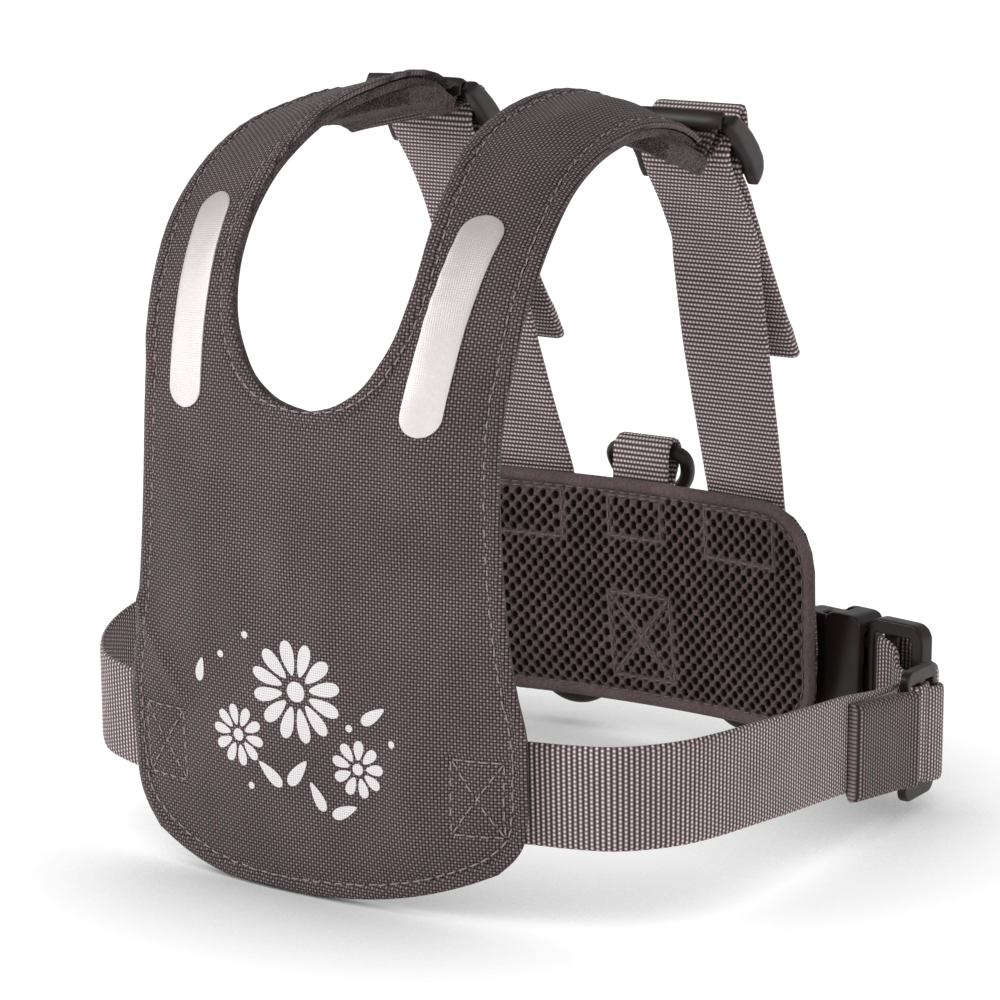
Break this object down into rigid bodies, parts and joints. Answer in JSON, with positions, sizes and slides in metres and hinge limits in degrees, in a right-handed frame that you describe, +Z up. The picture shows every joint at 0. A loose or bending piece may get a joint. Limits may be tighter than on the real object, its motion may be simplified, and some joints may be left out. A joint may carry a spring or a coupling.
{
  "type": "toddler safety harness",
  "caption": "Toddler safety harness: woven chest panel with shoulder straps, mesh back pad, waist webbing, side-release buckles, D-rings.",
  "frame": {"origin": "midway between the two shoulder straps, at the height of the padding under their tops", "axes": "+Z up along the wearer's spine, -Y to the chest, +X to the left arm of the wearer"},
  "size_m": [0.1876, 0.1724, 0.1859],
  "materials": {
    "woven_fabric": "plain weave, slightly shiny yarn",
    "spacer_mesh": "matte knitted spacer mesh with open holes",
    "webbing": "ribbed polyester webbing",
    "buckle_plastic": "satin moulded plastic",
    "reflective_film": "silver-white reflective film"
  },
  "bodies": {
    "harness": {"chest_panel": "woven_fabric", "back_shell": "woven_fabric", "chest_lining": "spacer_mesh", "back_pad": "spacer_mesh", "back_webbing": "webbing", "top_ring_tape": "webbing", "strap_tab_right": "webbing", "strap_tab_left": "webbing", "rear_webbing_right": "webbing", "rear_webbing_left": "webbing", "waist_webbing_right": "webbing", "waist_webbing_left": "webbing", "low_ring_tape_right": "webbing", "low_ring_tape_left": "webbing", "ladder_lock_right": "buckle_plastic", "ladder_lock_left": "buckle_plastic", "triglide_right": "buckle_plastic", "triglide_left": "buckle_plastic", "buckle_male_right": "buckle_plastic", "buckle_male_left": "buckle_plastic", "buckle_female_right": "buckle_plastic", "buckle_female_left": "buckle_plastic", "reflective_strip_right": "reflective_film", "reflective_strip_left": "reflective_film"},
    "top_ring": {"top_ring": "buckle_plastic"},
    "low_ring_right": {"low_ring_right": "buckle_plastic"},
    "low_ring_left": {"low_ring_left": "buckle_plastic"}
  },
  "joints": [
    {"name": "top_ring_swing", "type": "hinge", "parent": "harness", "child": "top_ring", "pos_m": [0, 0.0733, -0.0998], "axis": [1, 0, 0], "range_deg": [0, 130]},
    {"name": "low_ring_right_swing", "type": "hinge", "parent": "harness", "child": "low_ring_right", "pos_m": [0.0265, 0.0816, -0.1596], "axis": [0.9932, -0.1167, 0], "range_deg": [0, 140]},
    {"name": "low_ring_left_swing", "type": "hinge", "parent": "harness", "child": "low_ring_left", "pos_m": [-0.0265, 0.0816, -0.1596], "axis": [0.9932, 0.1167, 0], "range_deg": [0, 140]}
  ]
}
